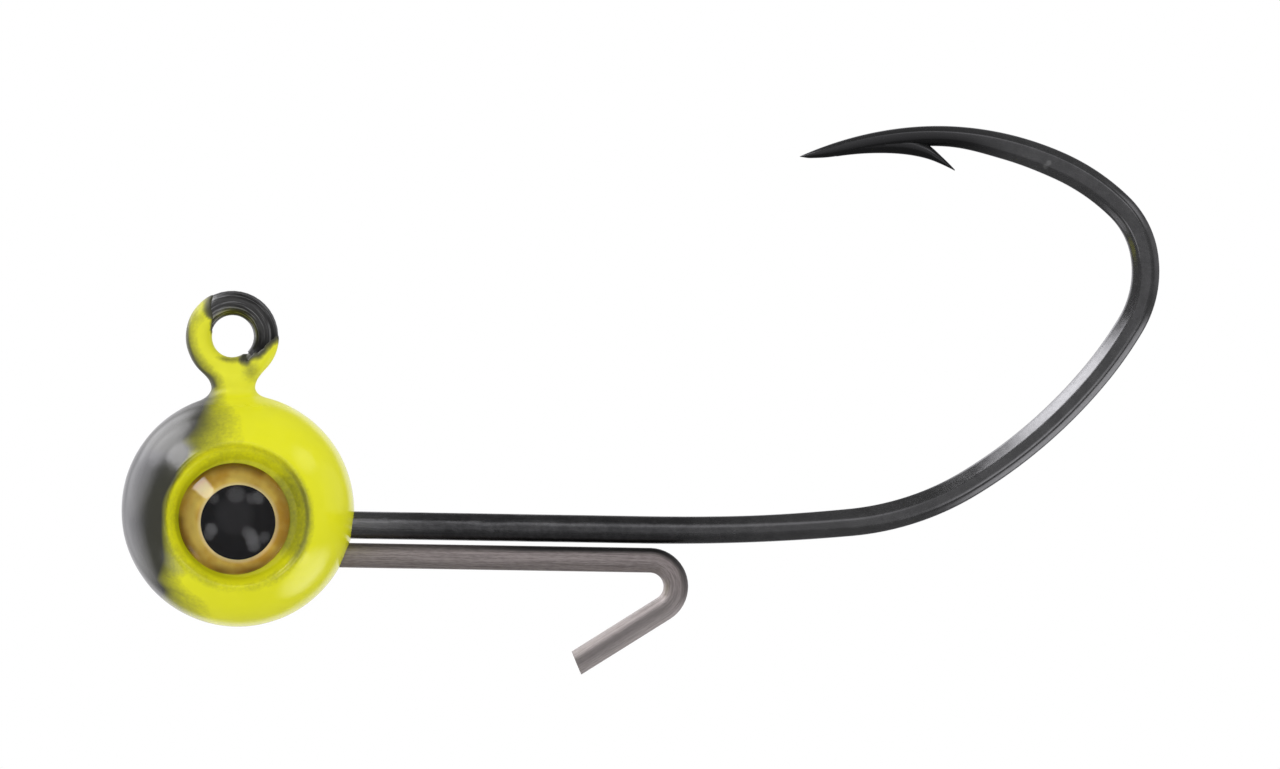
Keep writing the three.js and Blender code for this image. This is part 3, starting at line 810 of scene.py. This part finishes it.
def hook_look():
    """Black nickel: satin and a little lumpy where the wire is drawn, darker where it is forged,
    with a painted highlight on the shank near the head.
    """
    look = Look("black_nickel")
    length, _ = look.on_wire()
    hook_length = hook_line().length

    def from_point(start, end, to=(0.0, 1.0)):
        """A change along the wire between two distances from the point."""
        return look.ranged(length, hook_length - start, hook_length - end, to)

    drawn = look.wire_noise(0.5, 40, detail=4, roughness=0.6)
    lumps = look.wire_noise(0.9, 4)
    pits = look.noise(look.place(), scale=7.0, roughness=0.6)
    cloud = look.noise(look.place(), scale=1.6, roughness=0.55)
    forged = from_point(*FORGED)
    point = from_point(*DARK_POINT)
    shade = look.ranged(look.plus(look.times(pits, 0.5), look.times(cloud, 0.5)), 0.38, 0.62)
    bright = look.mix(shade, *DRAWN_NICKEL)
    # painted highlight: the shank near the head is painted lighter
    bright = look.mix(from_point(*SHANK_HIGHLIGHT, to=(0.8, 0.0)), bright, NICKEL_HIGHLIGHT)
    dark = look.mix(shade, *FORGED_NICKEL)
    dark = look.mix(point, dark, POINT_NICKEL)
    barb = look.times(look.ranged(look.from_side(INNER_SIDE), 0.18, 0.32, to=(1.0, 0.0)),
                      from_point(*DARK_BARB))
    dark = look.mix(barb, dark, BARB_NICKEL)
    colour = look.mix(forged, bright, dark)
    on_ring = look.ranged(length, *SCRATCHED, to=(1.0, 0.0))
    scratch = look.mix(look.ranged(drawn, 0.5, 0.66), *SCRATCHED_NICKEL)
    colour = look.mix(on_ring, colour, scratch)
    colour = look.mix(look.ranged(length, *CUT_END, to=(1.0, 0.0)), colour, CUT_NICKEL)
    for way in (-1, 1):
        nick = look.from_axis(NICK_X + way * NICK_REACH_X, NICK_Z + way * NICK_REACH_Z)
        share = look.times(look.ranged(nick, *NICK_FADE, to=(0.8, 0.0)), pits)
        colour = look.mix(share, colour, NICKED_NICKEL)
    satin = look.plus(look.ranged(drawn, 0.3, 0.7, to=(0.24, 0.34)), look.times(on_ring, 0.1))
    forged_satin = look.ranged(cloud, 0.3, 0.7, to=(0.18, 0.24))
    look.set(Base_Color=colour, Metallic=look.ranged(forged, 0.0, 1.0, to=(1.0, 0.8)),
             Roughness=look.plus(look.times(satin, look.minus(1.0, forged)),
                                 look.times(forged_satin, forged)))
    near_head = from_point(*SMOOTH, to=(1.0, 0.04))
    height = look.plus(look.times(lumps, 3.5), look.times(drawn, 0.4))
    look.bump(look.times(height, near_head), 0.02)
    return look.material


def keeper_look():
    """Grey spring wire, with painted shade along its top under the shank, and a painted highlight
    on the bent-back leg with painted shade down its middle.
    """
    look = Look("spring_wire")
    drawn = look.wire_noise(0.4, 60, detail=5, roughness=0.65)
    fine = look.wire_noise(4, 90, detail=2)
    tone = look.plus(look.times(drawn, 0.6), look.times(fine, 0.4))
    colour = look.mix(look.ranged(tone, 0.36, 0.64), *SPRING_WIRE)
    length, _ = look.on_wire()
    # painted highlight: the bent-back leg is painted paler than the rest of the wire
    leg_highlight = look.ranged(length, *LEG, to=(0.0, 0.22))
    colour = look.mix(leg_highlight, colour, SPRING_LEG_HIGHLIGHT)
    # painted shade: a dark line along the middle of the leg, on its side towards the camera;
    # leg_highlight is at most 0.22, so 2.6 makes that 0.57
    leg_shade = look.times(look.ranged(look.from_side(NEAR_SIDE), 0.02, 0.11, to=(2.6, 0.0)), leg_highlight)
    colour = look.mix(leg_shade, colour, SPRING_LEG_SHADE)
    # painted shade along the top of the keeper, where the shank above shades it, and round the
    # outside of its bend
    top_shade = look.times(look.ranged(length, *TOP_SHADE_START, to=(0.35, 0.95)),
                       look.ranged(length, *TOP_SHADE_END, to=(1.0, 0.0)))
    top_shade = look.times(look.ranged(look.from_side(INNER_SIDE), 0.11, 0.19, to=(1.0, 0.0)), top_shade)
    look.set(Base_Color=look.mix(top_shade, colour, KEEPER_TOP_SHADE),
             Metallic=0.6, Roughness=look.ranged(fine, 0.3, 0.7, to=(0.42, 0.52)))
    look.bump(tone, 0.01)
    return look.material


def iris_look():
    """Gold foil with a bright lip beside the pupil, and painted shade that darkens its outer rim to
    brown, as under the dome's edge.
    """
    look = Look("gold_foil")
    here = look.place()
    fleck = look.noise(here, scale=5.0, detail=4, roughness=0.6)
    cloud = look.noise(here, scale=1.3, detail=2)
    gold = look.mix(look.ranged(cloud, 0.35, 0.65), *GOLD)
    gold = look.mix(look.times(fleck, 0.35), gold, GOLD_FLECK)
    lip = look.ranged(look.from_axis(PUPIL_X, PUPIL_Z), PUPIL_RADIUS, PUPIL_RADIUS + 0.16,
                      to=(0.7, 0.0))
    gold = look.mix(lip, gold, GOLD_LIP)
    # painted shade: the outer rim darkened to brown, as under the dome's edge, more on some sides
    # than others
    rim_shade = look.ranged(look.from_axis(EYE_X, EYE_Z), EYE_RADIUS - 0.5, EYE_RADIUS - 0.04)
    rim_shade = look.times(rim_shade, look.ranged(look.noise(here, scale=0.55, detail=1), 0.42, 0.55,
                                      to=(1.0, 0.5)))
    look.set(Base_Color=look.mix(rim_shade, gold, GOLD_RIM_SHADE), Metallic=0.6,
             Roughness=look.ranged(fleck, 0.3, 0.7, to=(0.3, 0.42)))
    look.bump(fleck, 0.01)
    return look.material


def pupil_look():
    look = Look("gloss_black")
    here = look.place()
    look.set(Base_Color=look.mix(look.noise(here, scale=2.0), *PUPIL_BLACK), Roughness=0.45,
             Specular_IOR_Level=0.04)
    look.bump(look.noise(here, scale=1.5), 0.004)
    return look.material


def lens_look():
    look = Look("clear_resin")
    look.set(Base_Color=WHITE, Roughness=0.02, IOR=1.5, Transmission_Weight=1.0)
    look.bump(look.noise(look.place(), scale=1.4, detail=2), 0.004)
    return look.material


def adhesive_look():
    look = Look("foam_pad")
    cells = look.noise(look.place(), scale=12.0)
    look.set(Base_Color=look.mix(cells, *FOAM), Roughness=0.8)
    look.bump(cells, 0.01)
    return look.material


def alloy_look():
    look = Look("cast_alloy")
    skin = look.noise(look.place(), scale=2.5, detail=5, roughness=0.6)
    look.set(Base_Color=look.mix(skin, *ALLOY), Metallic=1.0,
             Roughness=look.ranged(skin, 0.3, 0.7, to=(0.45, 0.65)))
    look.bump(skin, 0.02)
    return look.material


def floor_look():
    look = Look("pale_floor")
    cloud = look.noise(look.place(), scale=0.02, detail=2)
    look.set(Base_Color=look.mix(cloud, *PALE_FLOOR), Roughness=0.6)
    return look.material


# ---- camera, light and floor ----
def place_camera():
    """The photo's view: square to the hook, from far off, and slightly rolled."""
    camera = bpy.data.objects.new("camera", bpy.data.cameras.new("camera"))
    bpy.context.scene.collection.objects.link(camera)
    right = Vector((math.cos(ROLL), 0, math.sin(ROLL)))
    up = Vector((-math.sin(ROLL), 0, math.cos(ROLL)))
    back = right.cross(up)
    turn = Matrix((right, up, back)).transposed().to_4x4()
    spot = Vector(put((VIEW_CENTRE[0], 0, VIEW_CENTRE[1]))) + back * CAMERA_DISTANCE * MM
    camera.matrix_world = Matrix.Translation(spot) @ turn
    camera.data.sensor_width = SENSOR_WIDTH
    camera.data.lens = SENSOR_WIDTH * CAMERA_DISTANCE / VIEW_WIDTH
    camera.data.clip_start = NEAREST_SEEN
    bpy.context.scene.camera = camera


def light_world():
    """White for the camera, the panels for shiny surfaces, and an even light for matt ones."""
    world = bpy.data.worlds.new("studio")
    bpy.context.scene.world = world
    world.use_nodes = True
    nodes = Nodes(world.node_tree)
    way = nodes.add("ShaderNodeTexCoord").outputs["Generated"]
    path = nodes.add("ShaderNodeLightPath").outputs

    def panel(place, core, fade, brightness):
        away, turn = (math.radians(angle) for angle in place)
        towards = (math.sin(away) * math.cos(turn), -math.cos(away),
                   math.sin(away) * math.sin(turn))
        facing = nodes.vector("DOT_PRODUCT", way, towards, output=1)
        return nodes.ranged(facing, math.cos(math.radians(fade)), math.cos(math.radians(core)),
                            to=(0, brightness))

    seen = SURROUNDINGS
    for settings in PANELS:
        seen = nodes.math("MAXIMUM", panel(*settings), seen)
    seen = nodes.minus(seen, panel(*CAMERA_SHADOW))
    seen = nodes.math("MULTIPLY_ADD", path["Is Transmission Ray"], THROUGH_GLASS, seen)
    shiny, even, backdrop = (
        nodes.add("ShaderNodeBackground", {"Color": colour, "Strength": strength}).outputs[0]
        for colour, strength in ((STUDIO_WHITE, seen), (WHITE, EVEN_LIGHT), (WHITE, 1.0)))
    light = nodes.add("ShaderNodeMixShader", {0: path["Is Glossy Ray"], 1: even, 2: shiny})
    shown = nodes.add("ShaderNodeMixShader", {0: path["Is Camera Ray"], 1: light.outputs[0],
                                              2: backdrop})
    nodes.feed(world.node_tree.nodes["World Output"].inputs[0], shown.outputs[0])
    bpy.context.scene.view_settings.view_transform = "Standard"


def add_key_light():
    """A soft lamp at the upper left that only matt surfaces show."""
    key = bpy.data.lights.new("key", "AREA")
    key.shape, key.size, key.size_y, key.energy = "RECTANGLE", KEY_WIDTH, KEY_HEIGHT, KEY_ENERGY
    lamp = bpy.data.objects.new("key", key)
    bpy.context.scene.collection.objects.link(lamp)
    way_up = Vector(KEY_WAY).normalized()
    lamp.location = Vector(put(KEY_AIM)) + way_up * KEY_DISTANCE
    lamp.rotation_euler = way_up.to_track_quat("Z", "Y").to_euler()
    lamp.visible_camera = lamp.visible_glossy = lamp.visible_transmission = False


def build_floor():
    angles = np.arange(FLOOR_SIDES) * 2 * math.pi / FLOOR_SIDES
    points = [(FLOOR_X + FLOOR_RADIUS * math.cos(a), FLOOR_RADIUS * math.sin(a), FLOOR_Z)
              for a in angles]
    floor = make_piece("floor", points, [tuple(range(FLOOR_SIDES))], floor_look())
    floor.visible_glossy = False


# ---- the jig head ----
ride_and_replace(build_head(paint_look()), "paint_coat")
ride_and_replace(build_hook(hook_look()), "hook")
ride_and_replace(build_keeper(keeper_look()), "bait_keeper")
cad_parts["head_ball"].data.materials[0] = alloy_look()
eye_looks = {"adhesive": adhesive_look(), "iris": iris_look(), "pupil": pupil_look(),
             "lens": lens_look()}
build_eye("left", -1, eye_looks)
build_eye("right", 1, eye_looks)
place_camera()
light_world()
add_key_light()
build_floor()
